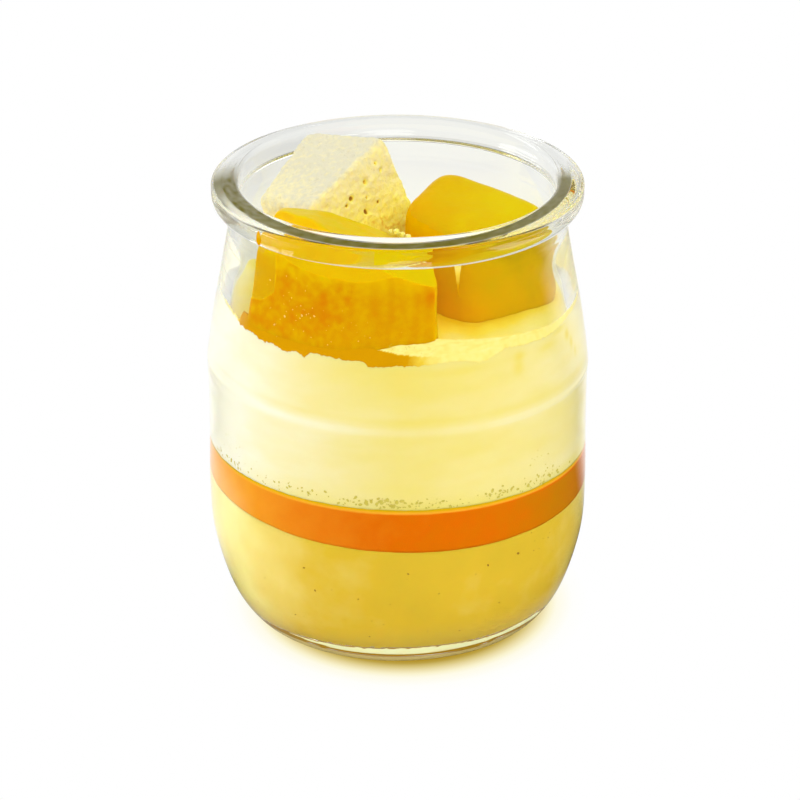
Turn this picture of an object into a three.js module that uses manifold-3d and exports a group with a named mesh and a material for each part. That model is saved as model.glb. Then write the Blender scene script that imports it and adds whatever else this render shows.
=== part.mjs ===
// A layered cream dessert in a small rounded glass jar: custard, fruit coulis and
// cream, topped with two chunks of mango and a cube of sponge cake.
//
// Millimetres, +Z up. The origin is the middle of the ring the jar stands on, +X is
// to the right and -Y is the front, where the larger mango chunk leans on the glass.

import * as THREE from 'three';
import { mergeVertices } from 'three/addons/utils/BufferGeometryUtils.js';
import Module from 'manifold-3d';

const manifoldLibrary = await Module();
manifoldLibrary.setup();

// ---------------------------------------------------------------- driving dimensions

// Gap kept between any two pieces that touch.
const GAP = 0.3;

// How far the seat of each topping in the cream is cut clear of it.
const SEAT_CLEARANCE = 0.45;

// Flats round the jar and round everything that fills it.
const SIDES = 58;

// Jar, outside.
const JAR_HEIGHT = 82;
const FOOT_RADIUS = 24;
const BELLY_RADIUS = 33.65;
const PANEL_RADIUS = 33.42;
const NECK_RADIUS = 29.5;
const NECK_TOP = 77.4;
const FOOT_RING_WIDTH = 3.4;
const PUSH_UP = 1.4;

// Lip bead: a rolled rim, higher than it is deep.
const LIP_RADIUS = 32.2;
const LIP_ROLL_DEPTH = 1.4;
const LIP_ROLL_HEIGHT = 2.3;
const MOUTH_RADIUS = 27.5;
const MOUTH_EDGE_RADIUS = 1.1;
const MOUTH_CREASE = 77.5;

// Jar, inside.
const FLOOR_THICKNESS = 4;
const BORE_RADIUS = 31.2;

// Layers, as planes z = height + alongX * x + alongY * y. Each was poured with the jar
// standing a little askew, so neither plane is quite level.
const COULIS_BOTTOM = { height: 26.45, alongX: -0.0306, alongY: 0.0308 };
const COULIS_TOP = { height: 32.85, alongX: -0.017, alongY: -0.0202 };

// Cream surface: nearly level, climbing a little at both sides, with soft swells.
const CREAM_TOP = {
  height: 60.3,
  alongX: 0.018,
  alongY: 0.022,
  sideClimb: 0.0012,
  swell: 0.28,
  swellLength: 9.5,
};

// Toppings. Each piece is a block named by its eight corners, as [left-front,
// right-front, right-back, left-back] of its bottom and of its top, and by the knife
// cuts that bevel it: a point that the cut goes through and the way it faces.
const FRONT_MANGO = {
  bottom: [[-26.5, -17.5, 59.4], [6.7, -31, 59.2], [6.3, -14.4, 59.9], [-18.8, -8.6, 59.9]],
  top: [[-25.6, -16.4, 81.4], [6.6, -32, 80.4], [5.6, -12.2, 79.4], [-20.2, -8.6, 80]],
  cuts: [
    { through: [-8, -9, 78.1], facing: [0.329, -0.018, 0.944] },
    { through: [-8.8, -20, 78.9], facing: [-0.216, -0.607, 0.765] },
    { through: [-20, -19.65, 71], facing: [-0.854, -0.514, 0.087] },
  ],
  rounding: 14,
  ripple: 0.18,
  rippleLength: 6.5,
  segments: 8,
};
const RIGHT_MANGO = {
  bottom: [[1.2, -9.2, 60.6], [12.9, -16.8, 59.7], [28.2, -2.2, 60.9], [9.6, 10.2, 60.6]],
  top: [[0.2, -1.8, 76.5], [12.6, -12.6, 74], [27.8, 0.6, 74.6], [8.7, 9.2, 81.4]],
  cuts: [],
  rounding: 6.5,
  ripple: 0.2,
  rippleLength: 8,
  segments: 8,
};
const SPONGE_CUBE = {
  bottom: [[-18.4, 5.4, 59.6], [-8.4, -5.9, 61.3], [4.8, 11.9, 67.8], [-9.3, 22.1, 64.5]],
  top: [[-24.6, 4.1, 76.1], [-15.4, -7.5, 78.8], [-2.4, 10.6, 85.5], [-16.2, 21.1, 82.3]],
  cuts: [],
  rounding: 26,
  ripple: 0.15,
  rippleLength: 5.3,
  segments: 8,
};

// ---------------------------------------------------------------- materials

const glass = new THREE.MeshStandardMaterial({
  color: 0xe9efe8, roughness: 0.04, metalness: 0, transparent: true, opacity: 0.35,
});
const custardYellow = new THREE.MeshStandardMaterial({ color: 0xeccb5a, roughness: 0.45, metalness: 0 });
const coulisOrange = new THREE.MeshStandardMaterial({ color: 0xe87f06, roughness: 0.3, metalness: 0 });
const creamWhite = new THREE.MeshStandardMaterial({ color: 0xf8efb8, roughness: 0.5, metalness: 0 });
const mangoDeep = new THREE.MeshStandardMaterial({ color: 0xdc9f02, roughness: 0.25, metalness: 0 });
const mangoLight = new THREE.MeshStandardMaterial({ color: 0xe0bb04, roughness: 0.25, metalness: 0 });
const spongePale = new THREE.MeshStandardMaterial({ color: 0xf2e6b4, roughness: 0.9, metalness: 0 });

// ---------------------------------------------------------------- solids

// A closed three.js geometry as a manifold: shared corners merged, and the
// zero-width triangles at a lathe's axis left out.
function solidFrom(geometry) {
  const bare = geometry.clone();
  for (const name of Object.keys(bare.attributes)) {
    if (name !== 'position') bare.deleteAttribute(name);
  }
  const merged = mergeVertices(bare, 1e-4);
  const triangles = [];
  const index = merged.index.array;
  for (let i = 0; i < index.length; i += 3) {
    const [a, b, c] = [index[i], index[i + 1], index[i + 2]];
    if (a !== b && b !== c && c !== a) triangles.push(a, b, c);
  }
  return new manifoldLibrary.Manifold(new manifoldLibrary.Mesh({
    numProp: 3,
    vertProperties: Float32Array.from(merged.attributes.position.array),
    triVerts: Uint32Array.from(triangles),
  }));
}

function meshOf(name, solid, material) {
  const { vertProperties, triVerts } = solid.getMesh();
  const geometry = new THREE.BufferGeometry();
  geometry.setAttribute('position', new THREE.BufferAttribute(Float32Array.from(vertProperties), 3));
  geometry.setIndex(new THREE.BufferAttribute(Uint32Array.from(triVerts), 1));
  geometry.computeVertexNormals();
  const mesh = new THREE.Mesh(geometry, material);
  mesh.name = name;
  return mesh;
}

// Turns a profile of (radius, height) points round the Z axis.
function turned(profile) {
  return new THREE.LatheGeometry(profile, SIDES).rotateX(Math.PI / 2);
}

// A smooth run of profile points through a few named stations.
function smoothRun(stations, steps) {
  return new THREE.SplineCurve(stations.map(([radius, z]) => new THREE.Vector2(radius, z))).getPoints(steps);
}

// A quarter of an ellipse as profile points, from one angle to the next.
function quarter(centreRadius, centreZ, depth, height, fromTurn, toTurn, steps) {
  const points = [];
  for (let i = 0; i <= steps; i += 1) {
    const angle = (fromTurn + ((toTurn - fromTurn) * i) / steps) * 2 * Math.PI;
    points.push(new THREE.Vector2(centreRadius + depth * Math.cos(angle), centreZ + height * Math.sin(angle)));
  }
  return points;
}

// ---------------------------------------------------------------- the glass jar

// Outside of the jar from its foot to the underside of the lip: a tucked-in heel, a
// full belly, a shallow panel round the middle and a long shoulder up to the neck.
const outerWall = smoothRun([
  [FOOT_RADIUS, 0],
  [27.4, 2],
  [30.5, 7.2],
  [33.05, 16.4],
  [BELLY_RADIUS, 25],
  [PANEL_RADIUS, 35],
  [PANEL_RADIUS, 44.5],
  [33.55, 49.2],
  [32.2, 58],
  [30.45, 67.5],
  [29.6, 72.8],
  [NECK_RADIUS, NECK_TOP],
], 20);

// The same jar inside, from the middle of its floor to the crease under the mouth.
const bore = smoothRun([
  [0, FLOOR_THICKNESS],
  [9, FLOOR_THICKNESS],
  [18, 4.15],
  [23.4, 5.2],
  [27.4, 8.5],
  [30, 14.5],
  [31.1, 22.5],
  [BORE_RADIUS, 31],
  [31.05, 40],
  [30.9, 48],
  [30.2, 55.5],
  [29.1, 62.3],
  [28.2, 68.5],
  [27.8, 74],
  [MOUTH_RADIUS, MOUTH_CREASE],
], 21);

function jarProfile() {
  const rollCentre = LIP_RADIUS - LIP_ROLL_DEPTH;
  const rollMiddle = JAR_HEIGHT - LIP_ROLL_HEIGHT;
  const underside = quarter(rollCentre, rollMiddle, LIP_ROLL_DEPTH, LIP_ROLL_HEIGHT, -0.25, 0.25, 7);
  const mouthEdge = quarter(
    MOUTH_RADIUS + MOUTH_EDGE_RADIUS,
    JAR_HEIGHT - MOUTH_EDGE_RADIUS,
    MOUTH_EDGE_RADIUS,
    MOUTH_EDGE_RADIUS,
    0.25,
    0.5,
    3,
  );
  return [
    new THREE.Vector2(0, PUSH_UP),
    new THREE.Vector2(12, PUSH_UP),
    new THREE.Vector2(18.6, 0.9),
    new THREE.Vector2(FOOT_RADIUS - FOOT_RING_WIDTH, 0),
    ...outerWall,
    ...underside,
    ...mouthEdge,
    ...bore.toReversed(),
  ];
}

const jar = solidFrom(turned(jarProfile()));

// ---------------------------------------------------------------- what fills the jar

// The bore moved inwards by the gap, square to its own surface, and closed over at the
// top: everything inside the jar is cut to it.
function cavitySolid() {
  const inset = [];
  for (let i = 0; i < bore.length; i += 1) {
    const before = bore[Math.max(i - 1, 0)];
    const after = bore[Math.min(i + 1, bore.length - 1)];
    const along = after.clone().sub(before).normalize();
    const radius = i === 0 ? 0 : bore[i].x - along.y * GAP;
    inset.push(new THREE.Vector2(radius, bore[i].y + along.x * GAP));
  }
  const top = JAR_HEIGHT - MOUTH_EDGE_RADIUS;
  inset.push(new THREE.Vector2(MOUTH_RADIUS - GAP, top));
  inset.push(new THREE.Vector2(0, top));
  return solidFrom(turned(inset));
}

const cavity = cavitySolid();

// All the space above a layer's plane, raised by an offset, and all the space below it.
const SPACE = 200;

function slantedBlock(plane, offset, side) {
  const block = new THREE.BoxGeometry(SPACE, SPACE, SPACE).translate(0, 0, (side * SPACE) / 2);
  block.applyMatrix4(new THREE.Matrix4().set(
    1, 0, 0, 0,
    0, 1, 0, 0,
    plane.alongX, plane.alongY, 1, plane.height + offset,
    0, 0, 0, 1,
  ));
  return solidFrom(block);
}

const above = (plane) => slantedBlock(plane, GAP / 2, 1);
const below = (plane) => slantedBlock(plane, -GAP / 2, -1);

const custard = cavity.intersect(below(COULIS_BOTTOM));
const coulis = cavity.intersect(above(COULIS_BOTTOM)).intersect(below(COULIS_TOP));

// ---------------------------------------------------------------- the toppings

// A block with eight named corners, its edges rounded off (a higher rounding number is
// a sharper edge) and its faces slightly uneven.
function choppedBlock({ bottom, top, rounding, ripple, rippleLength, segments }) {
  const block = new THREE.BoxGeometry(2, 2, 2, segments, segments, segments);
  for (const name of ['normal', 'uv']) block.deleteAttribute(name);
  const shape = mergeVertices(block, 1e-4);
  const position = shape.attributes.position;
  const corner = (set, i) => new THREE.Vector3(...set[i]);
  for (let i = 0; i < position.count; i += 1) {
    const unit = new THREE.Vector3().fromBufferAttribute(position, i);
    const norm = [unit.x, unit.y, unit.z].reduce((sum, value) => sum + Math.abs(value) ** rounding, 0);
    unit.divideScalar(norm ** (1 / rounding));
    const [across, back, up] = [unit.x, unit.y, unit.z].map((value) => (value + 1) / 2);
    const level = (set) => {
      const front = corner(set, 0).lerp(corner(set, 1), across);
      return front.lerp(corner(set, 3).lerp(corner(set, 2), across), back);
    };
    const point = level(bottom).lerp(level(top), up);
    const wave = 2 * Math.PI / rippleLength;
    point.x += ripple * Math.sin(wave * (point.y + 0.6 * point.z));
    point.y += ripple * Math.sin(wave * (point.z + 0.7 * point.x) + 1);
    point.z += ripple * Math.sin(wave * (point.x + 0.8 * point.y) + 2);
    position.setXYZ(i, point.x, point.y, point.z);
  }
  shape.computeVertexNormals();
  return shape;
}

// The same block with its whole skin moved outwards, to cut its seat in the cream.
function swollen(shape, distance) {
  const grown = shape.clone();
  const { position, normal } = grown.attributes;
  for (let i = 0; i < position.count; i += 1) {
    const point = new THREE.Vector3().fromBufferAttribute(position, i);
    point.addScaledVector(new THREE.Vector3().fromBufferAttribute(normal, i), distance);
    position.setXYZ(i, point.x, point.y, point.z);
  }
  return grown;
}

// The block as a solid, less what lies beyond each of its knife cuts.
function cutSolid(shape, { cuts }) {
  let solid = solidFrom(shape);
  for (const { through, facing } of cuts) {
    const direction = new THREE.Vector3(...facing).normalize();
    const turn = new THREE.Quaternion().setFromUnitVectors(new THREE.Vector3(0, 0, 1), direction);
    const waste = new THREE.BoxGeometry(SPACE, SPACE, SPACE).translate(0, 0, SPACE / 2);
    waste.applyQuaternion(turn).translate(...through);
    solid = solid.subtract(solidFrom(waste));
  }
  return solid;
}

const frontMangoShape = choppedBlock(FRONT_MANGO);
const rightMangoShape = choppedBlock(RIGHT_MANGO);
const spongeShape = choppedBlock(SPONGE_CUBE);

const frontMango = cutSolid(frontMangoShape, FRONT_MANGO).intersect(cavity);
const rightMango = cutSolid(rightMangoShape, RIGHT_MANGO);
const sponge = cutSolid(spongeShape, SPONGE_CUBE);

// ---------------------------------------------------------------- the cream

function creamHeight(x, y) {
  const wave = 2 * Math.PI / CREAM_TOP.swellLength;
  const swell = Math.sin(wave * x + 0.5 * Math.sin(wave * y)) * Math.cos(wave * 0.8 * y + 0.7);
  return CREAM_TOP.height + CREAM_TOP.alongX * x + CREAM_TOP.alongY * y
    + CREAM_TOP.sideClimb * x * x + CREAM_TOP.swell * swell;
}

// Everything under the uneven cream surface, as a disc wider than the bore whose top
// rings are lifted to the surface's height.
function underCreamSurface() {
  const rings = 7;
  const reach = BORE_RADIUS + 2;
  const flat = CREAM_TOP.height;
  const profile = [new THREE.Vector2(0, COULIS_TOP.height - 5), new THREE.Vector2(reach, COULIS_TOP.height - 5)];
  for (let i = rings; i >= 0; i -= 1) profile.push(new THREE.Vector2((reach * i) / rings, flat));
  const disc = turned(profile);
  const position = disc.attributes.position;
  for (let i = 0; i < position.count; i += 1) {
    if (position.getZ(i) > flat - 1) position.setZ(i, creamHeight(position.getX(i), position.getY(i)));
  }
  return solidFrom(disc);
}

let cream = cavity.intersect(above(COULIS_TOP)).intersect(underCreamSurface());
for (const shape of [frontMangoShape, rightMangoShape, spongeShape]) {
  cream = cream.subtract(solidFrom(swollen(shape, SEAT_CLEARANCE)));
}

// ---------------------------------------------------------------- assembly

const dessert = new THREE.Group();
dessert.add(
  meshOf('jar', jar, glass),
  meshOf('custard', custard, custardYellow),
  meshOf('coulis', coulis, coulisOrange),
  meshOf('cream', cream, creamWhite),
  meshOf('mango_front', frontMango, mangoDeep),
  meshOf('mango_right', rightMango, mangoLight),
  meshOf('sponge_cube', sponge, spongePale),
);

export default dessert;
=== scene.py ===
import bisect
import math
import random

import bpy
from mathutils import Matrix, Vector, noise


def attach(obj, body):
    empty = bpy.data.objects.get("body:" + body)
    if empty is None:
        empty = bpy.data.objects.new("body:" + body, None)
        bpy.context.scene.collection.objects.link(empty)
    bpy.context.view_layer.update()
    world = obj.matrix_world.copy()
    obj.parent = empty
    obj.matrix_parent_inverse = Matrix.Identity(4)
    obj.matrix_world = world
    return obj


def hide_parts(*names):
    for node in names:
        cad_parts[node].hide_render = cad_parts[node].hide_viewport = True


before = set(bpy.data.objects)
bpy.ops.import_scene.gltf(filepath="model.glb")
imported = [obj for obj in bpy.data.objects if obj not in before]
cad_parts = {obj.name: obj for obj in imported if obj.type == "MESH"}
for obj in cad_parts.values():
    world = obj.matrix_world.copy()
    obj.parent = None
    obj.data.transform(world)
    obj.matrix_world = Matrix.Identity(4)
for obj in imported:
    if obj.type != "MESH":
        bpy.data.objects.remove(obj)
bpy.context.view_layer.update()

MM = 0.001
# Points round each ring of the jar and of the food.
JAR_STEPS = 288
FOOD_STEPS = 432

# ---- the jar's sizes
JAR_HEIGHT = 82.0
FOOT_RADIUS = 24.0
FOOT_RING_WIDTH = 3.4
PUSH_UP = 1.4
BELLY_RADIUS = 33.54
PANEL_RADIUS = 33.40
NECK_RADIUS = 29.5
NECK_TOP = 77.4
LIP_RADIUS = 32.2
LIP_ROLL_DEPTH = 1.4
LIP_ROLL_HEIGHT = 2.3
MOUTH_RADIUS = 27.5
MOUTH_EDGE_RADIUS = 1.0
MOUTH_CREASE = 78.8
FLOOR_THICKNESS = 4.0
BORE_RADIUS = 31.2

OUTER_STATIONS = [
    (FOOT_RADIUS, 0), (27.4, 2), (30.5, 7.2), (33.05, 16.4), (BELLY_RADIUS, 25), (PANEL_RADIUS, 35),
    (PANEL_RADIUS, 44.5), (33.44, 49.2), (32.2, 58), (30.45, 67.5), (29.6, 72.8), (NECK_RADIUS, NECK_TOP),
]
BORE_STATIONS = [
    (0, FLOOR_THICKNESS), (9, FLOOR_THICKNESS), (18, 4.15), (23.4, 5.2), (27.4, 8.5), (30, 14.5), (31.1, 22.5),
    (BORE_RADIUS, 31), (31.05, 40), (30.9, 48), (30.2, 55.5), (29.1, 62.3), (28.2, 68.5), (27.8, 74),
    (MOUTH_RADIUS, MOUTH_CREASE),
]

# The top of the lip: a flat ring, a slope and a tight corner at its outside.
LIP_FLAT_END = 29.9
LIP_SLOPE_END = (31.8, 81.3)
LIP_CORNER_CENTRE = (31.62, 80.75)
LIP_CORNER_RADIUS = 0.58

# Thin rings in the glass: height, slant along X, how far they stand out, half width.
GLASS_RINGS = [(48.7, -0.017, 0.08, 0.4), (74.2, 0, 0.04, 0.3)]

# How far food reaches into the glass wall, and a layer into the next, so that no air shows between them.
REACH = 0.12
OVERLAP = 0.1

# ---- the layers' sizes
# The coulis's lower and upper face: height on the axis, rise along X and rise along Y.
COULIS_BOTTOM = (26.45, -0.0306, 0.0308)
COULIS_TOP = (32.85, -0.017, -0.0202)

# Height at which the cream's top meets the glass, by angle from the front, in degrees.
CREAM_EDGE = [
    (-180, 60.9), (-130, 61.2), (-90, 62.2), (-75, 61.8), (-65, 61), (-50, 60.8), (-20, 61), (-6, 62.2),
    (0, 61.5), (9, 61), (19, 60.6), (28, 60.6), (40, 60.9), (51, 60.75), (70, 60.7), (86, 60.8), (130, 61.1),
    (180, 60.9),
]
# Where the juice that has run down the glass ends, and how orange it is, 0 to 1.
JUICE_END = [
    (-75, 61.8), (-63, 60.8), (-61, 60.3), (-58, 60), (-53.6, 60.1), (-48.8, 59.5), (-44, 59.8), (-38.5, 59.15),
    (-34, 59.8), (-31, 59.05), (-28.8, 60.2), (-22, 60.1), (-17, 59.8), (-11, 60), (-9.4, 59), (-5.6, 59.1),
    (0, 59.35), (6, 59.25), (10, 59.3), (15.5, 59.6), (22, 59.3), (28, 58.6), (32.5, 59.25), (36.6, 60.1),
    (43, 59.6), (51, 59.3), (56, 59.1), (69, 59.8), (86, 60.2),
]
JUICE_COLOUR = [
    (-75, 0.1), (-63.5, 0.25), (-60.5, 0.95), (-2, 1), (3, 0.85), (8, 0.55), (14, 0.3), (40, 0.3), (86, 0.25)]
# How yellow the cream is against the glass, how pale the custard is and the coulis's tint, by angle. Beside
# their own colours, all three hold painted light, palest on the lit left.
CREAM_YELLOW_AND_LIGHT = [
    (-180, 0.3), (-85, 0), (-60, 0.06), (-35, 0.24), (-12, 0.42), (0, 0.49), (35, 0.45), (60, 0.36),
    (90, 0.3), (180, 0.3)]
PAINTED_PALE_SIDE = [
    (-180, 0.3), (-95, 1.1), (-60, 1.05), (-30, 0.22), (0, 0.05), (30, 0), (60, 0.2), (80, 0.6), (95, 0.8),
    (180, 0.3)]
PAINTED_COULIS_SIDE = [
    (-180, 0.1), (-95, 0.36), (-60, 0.3), (-30, 0.18), (0, 0.12), (35, 0.09), (60, 0), (95, 0.05), (180, 0.1)]
# Top of the wedge of cream that is pressed up between the front mango and the glass, by angle.
WEDGE_START = -6
WEDGE_END = 58.0
WEDGE_TOP = [
    (WEDGE_START, 62.3), (0, 63.2), (9, 63.4), (13, 63.8), (20, 63.3), (30, 62.6), (40, 61.9), (50, 61.3),
    (WEDGE_END, 60.8)]
# Stains on the cream's side: angle, height, half widths in degrees and mm, and amount.
CREAM_STAINS = [
    (67.5, 57.2, 1.4, 0.9, 0.35), (70, 55.3, 1.2, 1.1, 0.3), (72.4, 53.2, 1, 0.9, 0.2), (41.8, 58, 2, 0.7, 0.2),
    (41, 56.2, 2, 1.2, 0.17), (55, 57.6, 4, 0.6, 0.12), (20, 57.9, 12, 0.7, 0.1), (63, 59, 4.5, 0.5, 0.25),
]


# ---- numbers, curves and meshes
def clamp(value):
    return min(1.0, max(0.0, value))


def bell(distance, width):
    """1 at no distance, and less and less beyond the width."""
    return math.exp(-(distance / width) ** 2)


def wobble(x, y, z=0.0):
    """Smooth noise from about -1 to 1."""
    return noise.noise(Vector((x, y, z)))


def between(stations, place):
    """The value at a place in a list of (place, value), joined by straight lines."""
    for (a, u), (b, v) in zip(stations, stations[1:]):
        if place <= b:
            return u + (v - u) * max(0.0, place - a) / (b - a)
    return stations[-1][1]


def azimuth_of(x, y):
    """Degrees from the front, to the right."""
    return math.degrees(math.atan2(x, -y))


def smooth_run(stations, steps):
    """A Catmull-Rom curve through the stations, as (radius, z) points."""
    points = []
    last = len(stations) - 1
    for i in range(steps + 1):
        place = last * i / steps
        k = min(int(place), last - 1)
        t = place - k
        p0, p1, p2, p3 = (stations[min(max(j, 0), last)] for j in (k - 1, k, k + 1, k + 2))
        points.append(tuple(
            0.5 * (2 * b + (c - a) * t + (2 * a - 5 * b + 4 * c - d) * t * t + (3 * b - a - 3 * c + d) * t ** 3)
            for a, b, c, d in zip(p0, p1, p2, p3)
        ))
    return points


def arc(centre, depth, height, start, end, steps):
    """Part of an ellipse as (radius, z) points; start and end are in turns."""
    angles = [2 * math.pi * (start + (end - start) * i / steps) for i in range(steps + 1)]
    return [(centre[0] + depth * math.cos(angle), centre[1] + height * math.sin(angle)) for angle in angles]


def new_object(name, data):
    obj = bpy.data.objects.new(name, data)
    bpy.context.scene.collection.objects.link(obj)
    return obj


def piece(name, points, faces, materials, tints, pick=None, node=None):
    """A smooth mesh from points in millimetres, each with its tint. It hangs on the part's body and hides
    the CAD node that it stands for. pick gives each face's material."""
    mesh = bpy.data.meshes.new(name)
    mesh.from_pydata([(x * MM, y * MM, z * MM) for x, y, z in points], [], faces)
    mesh.polygons.foreach_set("use_smooth", [True] * len(mesh.polygons))
    for material in materials:
        mesh.materials.append(material)
    if pick:
        mesh.polygons.foreach_set("material_index", [pick(face) for face in faces])
    mesh.attributes.new("tint", "FLOAT", "POINT").data.foreach_set("value", tints)
    obj = new_object(name, mesh)
    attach(obj, "root")
    if node:
        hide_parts(node)


def around(ring, steps):
    """The edges of a ring of points, given the index of its first."""
    return [(ring + k, ring + (k + 1) % steps) for k in range(steps)]


def stitch(rings, steps):
    """Faces between rings of points that follow one another, given the first index of each."""
    return [(a, b, d, c) for first, second in zip(rings, rings[1:])
            for (a, b), (c, d) in zip(around(first, steps), around(second, steps))]


def fan(centre, ring, steps, up):
    """Faces between one point and a ring, that look up or down."""
    return [(centre, a, b) if up else (centre, b, a) for a, b in around(ring, steps)]


def octaves(point, *layers):
    """Noise at a point, summed over layers of (amount, size)."""
    return sum(amount * noise.noise(point / size) for amount, size in layers)


# ---- materials
def add(tree, kind, settings=(), values=(), **inputs):
    """A new shader node. settings are its own options. values are for its first sockets in order and
    inputs for sockets by name; each is a number, a colour or the socket that it is linked to."""
    node = tree.nodes.new("ShaderNode" + kind)
    for key, value in dict(settings).items():
        setattr(node, key, value)
    named = [(node.inputs[key.replace("_", " ")], value) for key, value in inputs.items()]
    for socket, value in [*zip(node.inputs, values), *named]:
        if isinstance(value, bpy.types.NodeSocket):
            tree.links.new(value, socket)
        else:
            socket.default_value = value
    return node


def new_material(name):
    """A material, its empty node tree and the socket that its surface is linked to."""
    material = bpy.data.materials.new(name)
    material.use_nodes = True
    tree = material.node_tree
    tree.nodes.clear()
    return material, tree, add(tree, "OutputMaterial").inputs["Surface"]


def arithmetic(tree, operation, *values, clamped=False):
    return add(tree, "Math", {"operation": operation, "use_clamp": clamped}, values).outputs[0]


def blend(tree, factor, first, second):
    return add(tree, "MixShader", (), (factor, first, second)).outputs[0]


def noise_value(tree, size, stretch=(1, 1, 1)):
    """Noise whose lumps are about size millimetres across."""
    scale = [1 / (MM * size * s) for s in stretch]
    place = add(tree, "Mapping", Vector=add(tree, "TexCoord").outputs["Object"], Scale=scale).outputs["Vector"]
    return add(tree, "TexNoise", Vector=place, Scale=1.0, Detail=3.0).outputs["Fac"]


def mesh_tint(tree):
    return add(tree, "Attribute", {"attribute_name": "tint"}).outputs["Fac"]


def ramp(tree, value, stops):
    """A colour ramp from (position, colour) stops."""
    node = add(tree, "ValToRGB", Fac=value)
    elements = node.color_ramp.elements
    while len(elements) < len(stops):
        elements.new(0.5)
    for element, (position, colour) in zip(elements, stops):
        element.position = position
        element.color = (*colour, 1.0)
    return node.outputs["Color"]


CLEAR_GLASS = (0.975, 0.985, 0.945)  # a faint green, as in cheap moulded glass


def glass_material(name, shades=(), body=0.0, specular=0.5):
    """Clear glass that lets lamps and scattered light through to what it holds. Its colour runs through
    shades with the mesh's tint, and the share body of it is no longer clear where the tint is full. Where shades
    are given, they are painted shade, highlights and reflections on the glass."""
    material, tree, surface = new_material(name)
    glass = add(tree, "BsdfPrincipled", Base_Color=(*CLEAR_GLASS, 1), Roughness=0.0, IOR=1.5,
                Specular_IOR_Level=specular, Transmission_Weight=1.0 - body)
    if shades:
        tint = mesh_tint(tree)
        tree.links.new(ramp(tree, tint, [(0.0, CLEAR_GLASS), *shades]), glass.inputs["Base Color"])
        filled = arithmetic(tree, "MINIMUM", arithmetic(tree, "DIVIDE", tint, shades[0][0]), 1.0)
        clearness = arithmetic(tree, "SUBTRACT", 1.0, arithmetic(tree, "MULTIPLY", filled, body))
        tree.links.new(clearness, glass.inputs["Transmission Weight"])
    clear = add(tree, "BsdfTransparent").outputs[0]
    path = add(tree, "LightPath").outputs
    unlit = blend(tree, path["Is Diffuse Ray"], glass.outputs[0], clear)
    tree.links.new(blend(tree, path["Is Shadow Ray"], unlit, clear), surface)
    return material


def food_material(name, stops, mottle, swing, radius, roughness=0.4, specular=0.0, scatter=0.5,
                  grain=1.0, grain_height=0.0, stretch=(1, 1, 1)):
    """Soft food. Its colour follows the mesh's tint, shifted by up to half the swing in blotches of
    mottle millimetres. Light scatters under the skin by radius. grain is the size of its bumps."""
    material, tree, surface = new_material(name)
    blotches = arithmetic(tree, "SUBTRACT", noise_value(tree, mottle, stretch), 0.5)
    mottled = arithmetic(tree, "ADD", mesh_tint(tree), arithmetic(tree, "MULTIPLY", blotches, swing))
    shader = add(tree, "BsdfPrincipled", Base_Color=ramp(tree, mottled, stops), Roughness=roughness,
                 Subsurface_Weight=scatter, Subsurface_Scale=MM, Subsurface_Radius=radius,
                 Specular_IOR_Level=specular)
    if grain_height:
        bump = add(tree, "Bump", Strength=0.6, Distance=grain_height * MM, Height=noise_value(tree, grain))
        tree.links.new(bump.outputs["Normal"], shader.inputs["Normal"])
    tree.links.new(shader.outputs[0], surface)
    return material


# Colours are linear. Custard and coulis run from pale at the lit left to deep elsewhere: the pale is painted
# light, the deep partly painted shade.
CUSTARD_COLOURS = [(0, (0.98, 0.84, 0.3)), (0.5, (0.76, 0.515, 0.035)), (1, (0.59, 0.435, 0.03))]
# From the deep orange of the right side, painted shade, over the paler left side, painted light, up to the olive
# line under the cream.
COULIS_COLOURS = [
    (0, (0.59, 0.21, 0)), (0.12, (0.77, 0.16, 0)), (0.34, (0.95, 0.43, 0.03)), (0.7, (0.8, 0.42, 0)),
    (1, (0.66, 0.5, 0.02))]
# From clean white cream through yellow to stained with juice.
CREAM_COLOURS = [
    (0, (0.97, 0.93, 0.74)), (0.3, (0.9, 0.79, 0.34)), (0.5, (0.87, 0.735, 0.19)), (0.75, (0.88, 0.66, 0.065)),
    (1, (0.84, 0.5, 0))]
# The cream's open top, from clean to soaked with juice.
CREAM_TOP_COLOURS = [
    (0, (0.95, 0.9, 0.55)), (0.35, (0.95, 0.84, 0.22)), (0.6, (0.93, 0.73, 0.06)), (1, (0.84, 0.52, 0))]
# Juice on the glass, from hardly any to pure.
JUICE_COLOURS = [
    (0, (0.98, 0.9, 0.42)), (0.3, (0.97, 0.83, 0.23)), (0.6, (0.88, 0.62, 0.05)),
    (0.85, (0.7, 0.335, 0)), (1, (0.68, 0.315, 0))]
# From the deep orange of pressed flesh to the yellow of the skin side; the yellow on faces that look up and high
# on the pressed face is painted light.
MANGO_COLOURS = [
    (0, (0.64, 0.14, 0)), (0.3, (0.7, 0.25, 0)), (0.5, (0.71, 0.34, 0)), (0.8, (0.77, 0.48, 0)),
    (1, (0.68, 0.5, 0))]
# The right chunk is a little darker and greener.
RIGHT_MANGO_COLOURS = [
    (0, (0.9, 0.38, 0)), (0.35, (0.8, 0.4, 0)), (0.5, (0.72, 0.38, 0)), (0.7, (0.64, 0.4, 0)),
    (1, (0.66, 0.5, 0))]
# Its sides, from the bright orange between the chunks, raised as painted light where that face lies in shade, to
# the olive of the far right.
RIGHT_SIDE_COLOURS = [
    (0, (0.94, 0.42, 0)), (0.5, (0.77, 0.41, 0)), (0.76, (0.67, 0.41, 0)), (0.9, (0.54, 0.35, 0)),
    (1, (0.51, 0.39, 0))]
# From dry crumb to crumb soaked with juice, whose yellow is raised as painted light where the cake lies in
# shade, then painted shade for the inside of a pore.
SPONGE_COLOURS = [
    (0, (0.68, 0.64, 0.46)), (0.35, (0.93, 0.82, 0.36)), (0.7, (1, 0.9, 0.13)), (0.8, (0.88, 0.62, 0.07)),
    (1, (0.36, 0.17, 0.02))]

glass = glass_material("clear_glass")
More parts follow.
